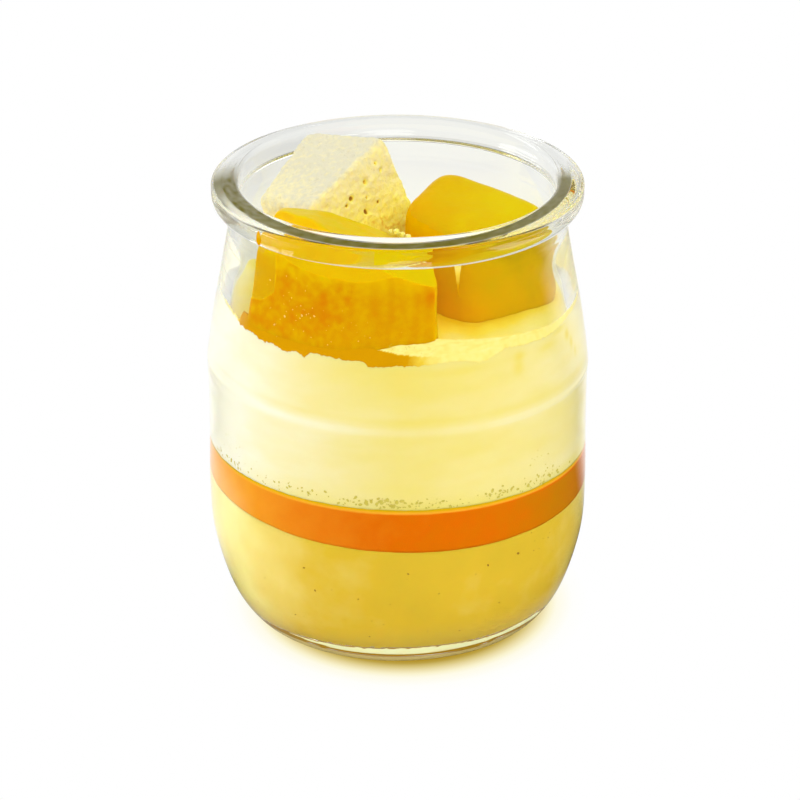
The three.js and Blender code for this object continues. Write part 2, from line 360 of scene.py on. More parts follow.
# The lip's top, with a painted dark band of shade and a painted highlight.
painted_rim_shade = glass_material("painted_rim_shade", [(1.0, (0.13, 0.113, 0.012))], body=0.99)
painted_rim_highlight = glass_material("painted_rim_highlight", [(1.0, (1.0, 0.99, 0.88))], body=0.8, specular=0.1)
# The foot's thick glass, with painted reflections: a pale band for the white floor seen through the base, and
# gold at its edge, where it mirrors the custard.
PAINTED_FOOT_GOLD = (0.36, 0.19, 0)
painted_foot_glass = glass_material("painted_foot_glass", [
    (0.35, PAINTED_FOOT_GOLD), (0.6, PAINTED_FOOT_GOLD), (0.85, (0.92, 0.90, 0.45)), (1.0, (0.94, 1.0, 0.60))],
    body=0.9, specular=0.1)

CREAM_SCATTER = (1.6, 1.3, 0.7)
MANGO_SCATTER = (3, 1.6, 0.05)
custard_skin = food_material("custard_skin", CUSTARD_COLOURS, 9, 0.5, (1.6, 1.0, 0.3), 0.5, scatter=0.35)
coulis_skin = food_material("coulis_skin", COULIS_COLOURS, 3.5, 0.08, (1.4, 0.5, 0.05), scatter=0.3)
cream_wall = food_material("cream_on_glass", CREAM_COLOURS, 7, 0.30, CREAM_SCATTER, 0.5, scatter=0.4,
                           stretch=(1.8, 1.8, 0.7))
cream_skin = food_material("cream_skin", CREAM_TOP_COLOURS, 4, 0.16, CREAM_SCATTER, scatter=0.4, grain=0.8,
                           grain_height=0.12)
juice_skin = food_material("mango_juice", JUICE_COLOURS, 1.2, 0.3, (1.5, 0.9, 0.1), scatter=0.0)
mango_wall = food_material("mango_on_glass", MANGO_COLOURS, 1.3, 0.36, (2.0, 1.1, 0.05))
mango_side = food_material("mango_side", MANGO_COLOURS, 4, 0.3, MANGO_SCATTER, grain=0.9, grain_height=0.04)
mango_skin = food_material("mango_skin", MANGO_COLOURS, 2.5, 0.32, MANGO_SCATTER, 0.35, 0.12, grain=0.7,
                           grain_height=0.12)
right_side = food_material("right_mango_side", RIGHT_SIDE_COLOURS, 4, 0.35, MANGO_SCATTER, grain=0.9,
                           grain_height=0.04)
right_skin = food_material("right_mango_skin", RIGHT_MANGO_COLOURS, 4, 0.3, MANGO_SCATTER, 0.35, 0.12,
                           grain=0.7, grain_height=0.12)
sponge_skin = food_material("sponge_skin", SPONGE_COLOURS, 1.1, 0.5, (1.2, 1.0, 0.5), 0.9, 0.05, 0.25,
                            grain=0.3, grain_height=0.3)


def speck_material(name, dark, light, swing=0.8):
    return food_material(name, [(0.0, dark), (1.0, light)], 1, swing, (1, 1, 1), 0.5, scatter=0.1)


specks_brown = speck_material("specks", (0.30, 0.13, 0.01), (0.45, 0.25, 0.03), 0.5)
bubbles_olive = speck_material("bubbles", (0.52, 0.40, 0.04), (0.80, 0.68, 0.14))
bubbles_pale = speck_material("pale_bubbles", (0.92, 0.52, 0.04), (1.0, 0.74, 0.22))


# ---- the jar
# The pushed-up base under the jar, and how many steps the curve of the bore is made in.
BASE_STATIONS = [(0.0, PUSH_UP), (6.0, PUSH_UP), (12.0, PUSH_UP), (16.0, 1.15), (18.6, 0.8)]
BORE_STEPS = 84


def jar_profile():
    """(radius, z) points from the middle of the base, up the outside and down to the middle of the floor."""
    roll_centre = (LIP_RADIUS - LIP_ROLL_DEPTH, JAR_HEIGHT - LIP_ROLL_HEIGHT)
    edge_centre = (MOUTH_RADIUS + MOUTH_EDGE_RADIUS, JAR_HEIGHT - MOUTH_EDGE_RADIUS)
    lip_top = [LIP_SLOPE_END, (30.6, 81.76), (LIP_FLAT_END, 81.96), (29.2, JAR_HEIGHT), (28.6, JAR_HEIGHT)]
    return [
        *BASE_STATIONS, (FOOT_RADIUS - FOOT_RING_WIDTH, 0.0),
        *smooth_run(OUTER_STATIONS, 190),
        *arc(roll_centre, LIP_ROLL_DEPTH, LIP_ROLL_HEIGHT, -0.25, 0.05, 20),
        *arc(LIP_CORNER_CENTRE, LIP_CORNER_RADIUS, LIP_CORNER_RADIUS, 0.02, 0.19, 8),
        *smooth_run(lip_top, 26),
        *arc(edge_centre, MOUTH_EDGE_RADIUS, MOUTH_EDGE_RADIUS, 0.25, 0.5, 12),
        *reversed(smooth_run(BORE_STATIONS, BORE_STEPS)),
    ]


def ring_relief(x, z):
    """How far the thin moulded rings stand out at a place on the outside."""
    return sum(size * bell(z - height - slant * x, half) for height, slant, size, half in GLASS_RINGS)


def band(value, start, end, edge=0.2):
    """1 between start and end, falling to 0 over the edge on either side."""
    return clamp((value - start) / edge) * clamp((end - value) / edge)


# The painted dark band on the lip, painted shade that stands for the dark surroundings seen through it: its
# radius and half width at the front. Then, for the left and the right, how far in it moves, how much wider it
# gets, the angle at which it ends and the degrees over which it fades.
DARK_RADIUS = 31.1
DARK_HALF_WIDTH = 0.76
DARK_LEFT = (2.1, 0.86, 108, 22)
DARK_RIGHT = (2.4, 0.6, 99, 12)


def rim_bands(radius, azimuth):
    """How much painted shade, and how much painted highlight, the lip's top has at a place. The light band runs
    inside the dark one at the front; beside the jar a second dark band runs along the lip's outer edge. Both
    dark bands are painted shade, the light band a painted highlight along the mouth's edge."""
    side = math.sin(math.radians(azimuth)) ** 2
    left = azimuth < 0
    inward, wider, fade_end, fade_run = DARK_LEFT if left else DARK_RIGHT
    centre, half = DARK_RADIUS - inward * side, DARK_HALF_WIDTH + wider * side
    fade = clamp((fade_end - abs(azimuth)) / fade_run)
    # The painted shade is mottled, more on the left.
    shade_mottle = 0.14 if azimuth < -50 else 0.06
    mottled = 0.98 - 0.08 * side + shade_mottle * wobble(azimuth / 3.0, radius * 1.4)
    dark = band(radius, centre - half, centre + half) * fade * mottled
    if left:
        outer = 0.94 * band(radius, 30.3, 31.9) + 0.6 * band(radius, 31.8, 32.3)
    else:
        outer = 0.6 * band(radius, 31.0, 31.6)
    light = band(radius, 28.2 + 3.5 * side, centre - half, 0.15) * clamp((75 - abs(azimuth)) / 30)
    return min(1.0, max(dark, side ** 3 * fade * outer)), light


# The painted pale band round the foot's front, a painted reflection of the white floor seen through the base:
# its lower and upper height by azimuth, and the painted gold line under it.
FOOT_BAND_START = -66
FOOT_BAND_END = 68
FOOT_BAND_LOW = [
    (FOOT_BAND_START, 4.2), (-52, 4.0), (-36, 4.05), (-22, 3.6), (0, 3.6), (30, 3.8), (38, 4.2), (55, 4.0),
    (FOOT_BAND_END, 4.0)]
FOOT_BAND_HIGH = [
    (FOOT_BAND_START, 4.2), (-52, 4.3), (-36, 4.8), (-22, 5.1), (0, 5.65), (15, 5.7), (33, 5.5), (55, 5.9),
    (FOOT_BAND_END, 4.2)]
FOOT_GOLD = 0.6


def foot_tint(azimuth, z):
    """Painted reflections on the foot: 1 on the pale band, 0.5 on the gold line under it, 0.7 below that, 0 on
    clear glass.
    """
    if not FOOT_BAND_START < azimuth < FOOT_BAND_END:
        return 0.0
    low, high = between(FOOT_BAND_LOW, azimuth), between(FOOT_BAND_HIGH, azimuth)
    ragged = 0.22 * wobble(azimuth / 2.5, 3.0)
    streaks = 1.0 + 0.12 * min(0.0, wobble(azimuth / 5.0, z / 0.8, 1.0))
    pale = band(z, low, high + ragged, 0.25) * streaks
    gold = 0.5 * band(z, low - FOOT_GOLD, low + 0.2)
    below = 0.7 * band(z, -1.0, low - FOOT_GOLD, 0.15)
    ends = min(1.0, (azimuth - FOOT_BAND_START) / 16, (FOOT_BAND_END - azimuth) / 10)
    return max(pale, gold, below) * ends


# Between which heights the moulded rings show, where the lip's painted bands start and where the foot's painted
# colours end.
RINGS_FROM, RINGS_TO = 3.0, 76.5
LIP_BANDS_FROM = 80.9
FOOT_COLOURS_TO = 7.0


def make_jar():
    profile = jar_profile()
    # The outside runs between these two points of the profile.
    foot, bore = len(BASE_STATIONS) + 1, len(profile) - BORE_STEPS - 1
    points = [(0.0, 0.0, profile[0][1]), (0.0, 0.0, profile[-1][1])]
    tints, kinds, rings = [0.0, 0.0], [0, 0], []
    for i, (radius, z) in enumerate(profile[1:-1]):
        rings.append(len(points))
        for k in range(JAR_STEPS):
            angle = 2 * math.pi * k / JAR_STEPS
            x, y = math.cos(angle), math.sin(angle)
            azimuth = azimuth_of(x, y)
            r = radius + 0.04 * wobble(x * 2.2, y * 2.2, z / 11) * min(1.0, radius / 20)
            if RINGS_FROM < z < RINGS_TO and i < bore:
                r += ring_relief(radius * x, z)
            points.append((r * x, r * y, z))
            # The tint holds the lip's painted shade and highlight and the foot's painted reflections.
            dark, light = rim_bands(radius, azimuth) if z > LIP_BANDS_FROM else (0.0, 0.0)
            low = foot_tint(azimuth, z) if z < FOOT_COLOURS_TO and foot <= i < bore else 0.0
            tints.append(max(dark, light, low))
            kinds.append(1 if dark > 0.04 else 2 if light > 0 else 3 if low > 0 else 0)
    faces = stitch(rings, JAR_STEPS)
    faces += fan(0, rings[0], JAR_STEPS, False) + fan(1, rings[-1], JAR_STEPS, True)
    piece("glass_jar", points, faces, [glass, painted_rim_shade, painted_rim_highlight, painted_foot_glass], tints,
          lambda face: max(kinds[i] for i in face), "jar")


make_jar()


# ---- what fills the jar
def reaching_wall():
    """The bore's (radius, z) points moved a little into the glass."""
    bore = smooth_run(BORE_STATIONS, 420)
    moved = []
    for i, (radius, z) in enumerate(bore):
        before, after = bore[max(i - 1, 0)], bore[min(i + 1, len(bore) - 1)]
        dr, dz = after[0] - before[0], after[1] - before[1]
        size = math.hypot(dr, dz)
        moved.append((0.0 if i == 0 else radius + REACH * dz / size, z - REACH * dr / size))
    return moved


WALL = reaching_wall()
WALL_HEIGHTS = [z for _, z in WALL]


def wall_radius(z):
    """Radius of the food against the glass at a height on the upright part of the wall."""
    above = bisect.bisect(WALL_HEIGHTS, z, 1, len(WALL) - 1)
    (r0, z0), (r1, z1) = WALL[above - 1], WALL[above]
    return r0 + (r1 - r0) * clamp((z - z0) / (z1 - z0))


def on_wall(azimuth, z, inward=0.0):
    """A point on the food's side of the glass; azimuth in degrees from the front, to the right."""
    angle = math.radians(azimuth)
    r = wall_radius(z) - inward
    return Vector((r * math.sin(angle), -r * math.cos(angle), z))


def plane_at(plane, x, y):
    return plane[0] + plane[1] * x + plane[2] * y


def coulis_bottom(x, y):
    return plane_at(COULIS_BOTTOM, x, y) + 0.1 * wobble(x / 6, y / 6, 3.0)


def coulis_top(x, y):
    ripple = 0.16 * wobble(x / 4, y / 4, 9.0) + 0.09 * wobble(x / 0.9, y / 0.9, 2.0)
    return plane_at(COULIS_TOP, x, y) + ripple


# The feet of the toppings on the cream, as corners in order round each.
FEET = {
    "front": [(-25.5, -15.5), (6.2, -29), (6, -14.6), (-18.4, -8.9)],
    "right": [(1.4, -10.5), (12.7, -18.6), (27.4, -3.6), (9.6, 9.6)],
    "cake": [(-18, 5.6), (-8.6, -5.4), (4.4, 11.8), (-9.6, 21.4)],
}


def distance_to(corners, x, y):
    """Distance from a point to a corner-to-corner outline; 0 inside it."""
    inside, nearest = True, 1e9
    for (ax, ay), (bx, by) in zip(corners, corners[1:] + corners[:1]):
        ex, ey = bx - ax, by - ay
        px, py = x - ax, y - ay
        if ex * py - ey * px < 0:
            inside = False
        t = clamp((px * ex + py * ey) / (ex * ex + ey * ey))
        nearest = min(nearest, math.hypot(px - t * ex, py - t * ey))
    return 0.0 if inside else nearest


CREAM_LEVEL = 60.9


def cream_top(x, y):
    radius = math.hypot(x, y)
    edge = between(CREAM_EDGE, azimuth_of(x, y)) if radius > 1 else CREAM_LEVEL
    height = CREAM_LEVEL + (edge - CREAM_LEVEL) * min(1.0, radius / 28.5) ** 6
    height += 0.45 * wobble(x / 6, y / 6, 1.0) * (1 - (radius / 31) ** 4)
    height += 0.16 * wobble(x / 1.9, y / 1.9, 5.0)
    for foot, rise, spread in (("front", 0.3, 0.8), ("right", 0.5, 1.2), ("cake", 0.8, 1.5)):
        height += rise * bell(distance_to(FEET[foot], x, y), spread)
    return height


def cream_stain(x, y):
    """How far mango juice has coloured the cream's top, 0 to 1."""
    stain = 0.34 + 0.12 * wobble(x / 5, y / 5, 7.0)
    for foot, most, spread in (("front", 0.3, 1.5), ("right", 0.55, 2.2), ("cake", 0.12, 2.0)):
        stain += most * math.exp(-distance_to(FEET[foot], x, y) / spread)
    return min(0.95, stain)


def meeting_height(surface, angle):
    """Height at which a surface z(x, y) meets the wall in one direction."""
    z = surface(0, 0)
    for _ in range(4):
        r = wall_radius(z)
        z = surface(r * math.cos(angle), r * math.sin(angle))
    return z


# The custard's rings on the jar's curved floor: how high they go, and how many points of WALL apart they are.
FLOOR_RINGS_TO = 12.0
FLOOR_RINGS_STEP = 6


def poured(name, slot, materials, bottom, top, side_rings, cap_rings, tint, spread=0.0):
    """A layer between two surfaces z(x, y), out to the wall. bottom None is the jar's floor.
    materials are for the side against the glass and for the top; tint is f(x, y, z, on_top).
    The CAD's node has the name of the slot."""
    angles = [2 * math.pi * k / FOOD_STEPS for k in range(FOOD_STEPS)]
    points, rings, tints = [], [], []

    def add_point(x, y, z, on_top):
        points.append((x, y, z))
        tints.append(tint(x, y, z, on_top))

    def add_ring(radii, heights, surface=None):
        """A ring at the heights given, or on a surface."""
        rings.append(len(points))
        for angle, r, z in zip(angles, radii, heights):
            x, y = r * math.cos(angle), r * math.sin(angle)
            add_point(x, y, surface(x, y) if surface else z, surface is top)

    def towards_wall(heights, share=1.0):
        return [(wall_radius(z) + spread) * share for z in heights]

    top_z = [meeting_height(top, angle) for angle in angles]
    if bottom is None:
        add_point(0.0, 0.0, WALL[0][1], False)
        for r, z in [(r, z) for r, z in WALL if r > 0.5 and z < FLOOR_RINGS_TO][::FLOOR_RINGS_STEP]:
            low_z = [z] * FOOD_STEPS
            add_ring([r] * FOOD_STEPS, low_z)
    else:
        low_z = [meeting_height(bottom, angle) for angle in angles]
        add_point(0.0, 0.0, bottom(0, 0), False)
        for share in (0.25, 0.5, 0.75):
            add_ring(towards_wall(low_z, share), low_z, bottom)
        add_ring(towards_wall(low_z), low_z)
    for j in range(1, side_rings + 1):
        heights = [a + (b - a) * j / side_rings for a, b in zip(low_z, top_z)]
        add_ring(towards_wall(heights), heights)
    side_end = len(points)
    for j in range(cap_rings - 1, 0, -1):
        add_ring(towards_wall(top_z, j / cap_rings), top_z, top)
    add_point(0.0, 0.0, top(0, 0), True)
    faces = stitch(rings, FOOD_STEPS)
    faces += fan(0, rings[0], FOOD_STEPS, False) + fan(len(points) - 1, rings[-1], FOOD_STEPS, True)
    pick = (lambda face: int(max(face) >= side_end)) if len(materials) > 1 else None
    piece(name, points, faces, materials, tints, pick, slot)


def custard_tint(x, y, z, on_top):
    """Paler the higher it is, by the painted light that is set by angle, and deeper near the floor."""
    pale = between(PAINTED_PALE_SIDE, azimuth_of(x, y))
    low = 0.4 * max(0.0, 1.0 - z / 9) * (1 - 0.7 * pale)
    return 0.56 + low - 0.5 * pale * min(1.0, (z + 3) / 12)


def coulis_tint(x, y, z, on_top):
    """1 at the very top, falling fast in the upper millimetre and a half; elsewhere no less than the painted
    light by angle.
    """
    below = plane_at(COULIS_TOP, x, y) + 0.1 - z
    rim = clamp(1.0 - below / 1.3) ** 1.4
    return max(rim, between(PAINTED_COULIS_SIDE, azimuth_of(x, y)))


def cream_tint(x, y, z, on_top):
    """The cream's yellow by angle, which holds painted light on the lit left, with a painted light line and a
    painted dark line where the glass's ring bends the light, and the stains.
    """
    if on_top:
        return cream_stain(x, y)
    azimuth = azimuth_of(x, y)
    above = z - plane_at(COULIS_TOP, x, y)
    yellow = between(CREAM_YELLOW_AND_LIGHT, azimuth) - 0.06 + 0.10 * max(0.0, 1 - above / 2.0)
    yellow += 0.10 * clamp((z - 52) / 6) * bell(azimuth + 15, 40)
    # A painted light line and a painted dark line where the glass's ring bends the light.
    ring = z - GLASS_RINGS[0][0] - GLASS_RINGS[0][1] * x
    yellow += 0.06 * bell(ring - 1.1, 0.5) - 0.13 * bell(ring + 0.8, 0.7)
    for at, height, wide, tall, amount in CREAM_STAINS:
        yellow += amount * bell(azimuth - at, wide) * bell(z - height, tall)
    return yellow


# The coulis reaches this much further into the glass, so that its edges cover its neighbours'.
COULIS_SPREAD = 0.015

poured("custard_layer", "custard", [custard_skin], None, lambda x, y: coulis_bottom(x, y) + OVERLAP, 20, 6,
       custard_tint)
poured("coulis_layer", "coulis", [coulis_skin], coulis_bottom, coulis_top, 16, 6, coulis_tint, COULIS_SPREAD)
poured("cream_layer", "cream", [cream_wall, cream_skin], lambda x, y: coulis_top(x, y) - OVERLAP, cream_top,
       56, 70, cream_tint)


# ---- juice on the glass
FILM_ROWS = 16
FILM_THICKNESS = 0.25
FILM_PROUD = 0.03  # how far a film reaches beyond the food into the glass


def wall_film(name, material, start, end, step, low, high, tint, settle=None):
    """A thin skin of food on the glass between two heights that are functions of the azimuth.
    settle(azimuth, z) is how far it draws back from the glass at a place."""
    columns = int((end - start) / step) + 1
    points, tints = [], []
    for inward in (-FILM_PROUD, FILM_THICKNESS):
        for i in range(columns):
            azimuth = start + i * step
            z0, z1 = low(azimuth), high(azimuth)
            for j in range(FILM_ROWS + 1):
                z = z0 + (z1 - z0) * j / FILM_ROWS
                on_edge = min(j, FILM_ROWS - j, i, columns - 1 - i) == 0
                sink = (inward + FILM_THICKNESS) / 2 if on_edge else inward
                if settle and inward < 0:
                    sink += settle(azimuth, z)
                points.append(on_wall(azimuth, z, sink))
                tints.append(tint(azimuth, z))
    half = len(points) // 2
    front = []
    for i in range(columns - 1):
        for j in range(FILM_ROWS):
            a = i * (FILM_ROWS + 1) + j
            b = a + FILM_ROWS + 1
            front.append((a, b, b + 1, a + 1))
    edges = {edge: None for face in front for edge in zip(face, face[1:] + face[:1])}
    faces = front + [tuple(i + half for i in reversed(face)) for face in front]
    faces += [(b, a, a + half, b + half) for a, b in edges if (b, a) not in edges]
    piece(name, points, faces, [material], tints)


def juice_low(azimuth):
    ragged = 0.30 * wobble(azimuth / 1.5, 4.0) + 0.22 * wobble(azimuth / 0.6, 8.0)
    return between(JUICE_END, azimuth) + ragged


def juice_high(azimuth):
    ripple = 0.12 * wobble(azimuth / 2.0, 1.0)
    if WEDGE_START < azimuth < WEDGE_END:
        return between(WEDGE_TOP, azimuth) + ripple
    hidden = 1.8 * clamp(min((WEDGE_START - azimuth) / 6, (azimuth + 62) / 1.5))
    return max(between(CREAM_EDGE, azimuth) + 0.05 + ripple + hidden, juice_low(azimuth) + 0.3)


def juice_tint(azimuth, z):
    """Juice colour, and cleaner cream in the wedge pressed between the mango and the glass."""
    if WEDGE_START < azimuth < WEDGE_END and z > between(CREAM_EDGE, azimuth):
        return 0.3 + 0.12 * wobble(azimuth / 4.0, z / 0.35)
    return between(JUICE_COLOUR, azimuth)


def juice_settle(azimuth, z):
    """Lets the film's top run into the mango chunk, so that no line shows between them."""
    return 0.14 * clamp((z - between(CREAM_EDGE, azimuth)) / 1.6) if azimuth < WEDGE_START else 0.0


wall_film("mango_juice_on_glass", juice_skin, JUICE_END[0][0], JUICE_END[-1][0], 0.25, juice_low, juice_high,
          juice_tint, juice_settle)

# A streak of cream high up between the chunks: the azimuths of its edges and its middle.
STREAK_START, STREAK_MIDDLE, STREAK_END = 19.4, 20.6, 21.8
wall_film("cream_streak", juice_skin, STREAK_START, STREAK_END, 0.1,
          lambda azimuth: 76.0 - 5.6 * max(0.0, 1 - abs(azimuth - STREAK_MIDDLE) / 1.15) ** 1.3,
          lambda azimuth: 76.6 - 0.2 * abs(azimuth - STREAK_MIDDLE),
          lambda azimuth, z: 0.46 + 0.5 * max(0.0, (75.8 - z) / 4))


# ---- specks and bubbles
SPECK_SIDES = 8
SPECK_HEIGHT = 0.05


def specks(name, material, places):
    """Low domes that stand on the food's side of the glass. places holds (azimuth, z, radius)."""
    points, faces = [], []
    for azimuth, z, size in places:
        centre = on_wall(azimuth, z)
        out = Vector((centre.x, centre.y, 0)).normalized()
        across = Vector((-out.y, out.x, 0))
        tip = len(points)
        points.append(centre + out * SPECK_HEIGHT)
        for share, depth in ((0.7, 0.6 * SPECK_HEIGHT), (1.0, -0.02)):
            for k in range(SPECK_SIDES):
                angle = 2 * math.pi * k / SPECK_SIDES
                reach = size * share * (1 + 0.25 * math.sin(2 * angle + azimuth))
                up = Vector((0, 0, reach * math.sin(angle)))
                points.append(centre + across * (reach * math.cos(angle)) + up + out * depth)
        root = len(points)
        points.append(centre - out * 0.08)
        inner, outer = tip + 1, tip + 1 + SPECK_SIDES
        for k in range(SPECK_SIDES):
            nxt = (k + 1) % SPECK_SIDES
            a, b, c, d = inner + k, inner + nxt, outer + nxt, outer + k
            faces += [(tip, a, b), (a, d, c, b), (root, c, d)]
    piece(name, points, faces, [material], [0.5] * len(points))


def scattered(draw, clusters):
    """Specks drawn round cluster centres: (azimuth, z, half widths, count, smallest, largest)."""
    places = []
    for azimuth, z, wide, tall, count, small, large in clusters:
        for _ in range(count):
            place = draw.gauss(azimuth, wide), draw.gauss(z, tall)
            places.append((*place, small + (large - small) * draw.random() ** 2))
    return places


draw = random.Random(3)
CUSTARD_SPECKS = [
    (-30.3, 20.3, 0.22), (-26.9, 16.3, 0.22), (3.2, 21.3, 0.2), (29, 21, 0.24), (40.3, 21.5, 0.3),
    (-12.5, 15.9, 0.15), (13, 17, 0.16), (35, 12.5, 0.16), (-37, 9.5, 0.16), (-10, 7.5, 0.15), (22, 8, 0.15),
]
CUSTARD_CLUSTERS = [(0, 14, 30, 5, 22, 0.06, 0.12), (48, 22, 5, 1.5, 8, 0.08, 0.14)]
specks("custard_specks", specks_brown, CUSTARD_SPECKS + scattered(draw, CUSTARD_CLUSTERS))
# Bubbles above the coulis follow its edge, so their heights are given above it.
EDGE_BUBBLES = [
    (-63, 0.9, 8, 0.5, 34, 0.1, 0.3), (-31, 1.1, 10, 0.7, 36, 0.1, 0.32), (-10, 1.3, 5, 0.6, 30, 0.12, 0.42),
    (0, 1, 4, 0.6, 32, 0.12, 0.44), (12, 0.9, 5, 0.6, 34, 0.12, 0.42), (33, 1.1, 6, 0.7, 40, 0.12, 0.42),
    (50, 1.2, 6, 0.9, 42, 0.12, 0.38), (48, 5.5, 3, 0.8, 7, 0.1, 0.18), (-60, 4, 9, 1.5, 12, 0.08, 0.14),
]


def coulis_edge(azimuth):
    """Height at which the coulis's top meets the glass."""
    return plane_at(COULIS_TOP, *on_wall(azimuth, 34).xy)


specks("cream_bubbles", bubbles_olive,
       [(azimuth, above + coulis_edge(azimuth), size)
        for azimuth, above, size in scattered(draw, EDGE_BUBBLES) if above > 0.2])
MANGO_BUBBLES = [(-33.2, 66.2, 0.22), (-28.5, 66.6, 0.18), (-48, 70.5, 0.16), (-40, 65.2, 0.2), (-44, 63.2, 0.2)]
MANGO_CLUSTERS = [(-38, 66.5, 8, 2.4, 40, 0.05, 0.11), (-5, 65.5, 8, 2, 12, 0.05, 0.1)]
specks("mango_bubbles", bubbles_pale, MANGO_BUBBLES + scattered(draw, MANGO_CLUSTERS))
wedge_places = [(draw.uniform(-3, 12.5), draw.uniform(0.4, 1.7), draw.uniform(0.05, 0.10)) for _ in range(40)]
specks("wedge_bubbles", bubbles_olive,
       [(azimuth, between(CREAM_EDGE, azimuth) + above, size) for azimuth, above, size in wedge_places])


# ---- the toppings
FRONT_MANGO = {
    "bottom": [(-29.6, -20.6, 58), (6.8, -36, 58), (6.3, -14.4, 58.5), (-19.2, -8.6, 58.5)],
    "top": [(-23.8, -19.1, 81.4), (6.8, -36, 80.4), (5.6, -12.2, 79.4), (-20.2, -8.6, 80)],
    "on_glass": True,
    "cuts": [
        ((-8, -9, 78.1), (0.329, -0.018, 0.944)),
        ((-8.8, -20, 78.9), (-0.216, -0.607, 0.765)),
        ((-21.9, -17.1, 74.9), (-0.62, -0.4, 0.68)),
    ],
    "rounding": 14,
}
RIGHT_MANGO = {
    "bottom": [(1, -10.8, 57.4), (12.8, -19.4, 57), (30.4, -5, 57.6), (9.6, 10.2, 58)],
    "top": [(-0.8, -1.8, 78), (12.4, -12.8, 75.6), (29.8, -0.8, 76.8), (7.4, 9, 82.4)],
    "rounding": 4.5,
}
SPONGE_CUBE = {
    "bottom": [(-18.4, 5.4, 59.6), (-8.4, -5.9, 61.3), (4.8, 11.9, 67.8), (-9.3, 22.1, 64.5)],
    "top": [(-24.6, 4.1, 76.1), (-15.4, -7.5, 78.8), (-2.4, 10.6, 85.5), (-16.2, 21.1, 82.3)],
    "rounding": 15,
}


def cube_grid(n):
    """Points and faces of a cube from -1 to 1 with n faces along each edge, welded."""
    index, faces = {}, []
    for axis in range(3):
        for side in (0, n):
            for i in range(n):
                for j in range(n):
                    quad = []
                    for u, v in ((i, j), (i + 1, j), (i + 1, j + 1), (i, j + 1)):
                        place = [0, 0, 0]
                        place[axis], place[(axis + 1) % 3], place[(axis + 2) % 3] = side, u, v
                        quad.append(index.setdefault(tuple(place), len(index)))
                    faces.append(tuple(quad if side else reversed(quad)))
    return [tuple(2 * v / n - 1 for v in place) for place in index], faces


def soft_limit(distance, width):
    """A distance beyond a face held at zero, with the edge rounded over the width."""
    if distance < -width:
        return distance
    if distance > width:
        return 0.0
    return -((width - distance) ** 2) / (4 * width)


def to_glass(inner, outer):
    """The point between inner and outer that lies on the glass, if outer is beyond it."""
    step = outer - inner
    radius = wall_radius(outer.z)
    a = step.x ** 2 + step.y ** 2
    b = inner.x * step.x + inner.y * step.y
    c = inner.x ** 2 + inner.y ** 2 - radius ** 2
    return inner + step * min(1.0, (math.sqrt(b * b - a * c) - b) / a)


KNIFE_EDGE = 0.35  # how far the edge of a knife cut is rounded


def chopped(spec, n):
    """A chopped block: eight corners, rounded edges and knife cuts. n is its faces along each edge."""
    points, faces = cube_grid(n)
    corners = {key: [Vector(c) for c in spec[key]] for key in ("bottom", "top")}
    shaped = []
    for p in points:
        size = sum(abs(v) ** spec["rounding"] for v in p) ** (1 / spec["rounding"])
        across, back, up = ((v / size + 1) / 2 for v in p)
        levels = []
        for key in ("bottom", "top"):
            c = corners[key]
            near, far = c[0].lerp(c[1], across), c[3].lerp(c[2], across)
            if spec.get("on_glass"):
                near = to_glass(far, near)
            levels.append(near.lerp(far, back))
        q = levels[0].lerp(levels[1], up)
        for through, facing in spec.get("cuts", ()):
            normal = Vector(facing).normalized()
            beyond = (q - Vector(through)).dot(normal)
            q = q + normal * (soft_limit(beyond, KNIFE_EDGE) - beyond)
        shaped.append(q)
    return shaped, faces


def at_radius(point, radius):
    """The point moved straight out or in to a distance from the jar's axis."""
    now = math.hypot(point.x, point.y)
    return Vector((point.x * radius / now, point.y * radius / now, point.z))


GLASS_GAP = 0.02


def hug(point):
    """Holds a point inside the glass wall."""
    limit = wall_radius(point.z) - GLASS_GAP
    return at_radius(point, limit + soft_limit(math.hypot(point.x, point.y) - limit, 0.12))


def add_relief(points, faces, relief):
    """Moves each point along its own normal by relief(point). The normals are returned too."""
    normals = [Vector((0, 0, 0)) for _ in points]
    for face in faces:
        a, b, c = points[face[0]], points[face[1]], points[face[2]]
        normal = (b - a).cross(c - a)
        for i in face:
            normals[i] += normal
    units = [n.normalized() for n in normals]
    return [p + n * relief(p) for p, n in zip(points, units)], units


def mango_relief(point):
    """Broad lumps and fine fibres."""
    return octaves(point, (0.22, 5.5)) + 0.05 * wobble(point.x / 1.6, point.y / 1.6, point.z / 0.7)


# The facet at the upper left of the pressed face: its foot's height by azimuth and its right edge.
FACET_FOOT = [(-62, 64.6), (-56.6, 65.8), (-51.2, 66.4), (-46.3, 68.4)]
FACET_EDGE = -45.6
FACET_DEPTH = 0.35


def inside_facet(point):
    """Distance inside the facet's outline in millimetres, negative outside it."""
    azimuth = azimuth_of(point.x, point.y)
    return min(0.49 * (FACET_EDGE - azimuth), point.z - between(FACET_FOOT, azimuth))


def sunk_facet(point):
    """Draws the facet back from the glass."""
    depth = min(FACET_DEPTH, max(0.0, inside_facet(point)))
    return at_radius(point, min(math.hypot(point.x, point.y), wall_radius(point.z) - depth))


# A mango's skin shows on faces that look up this much, above this height or behind this line.
SKIN_FACING = 0.6
SKIN_ABOVE = 76.5
SKIN_BEHIND = -17
TOUCH_GAP = 0.07  # nearer to the wall than this, the flesh is pressed on the glass


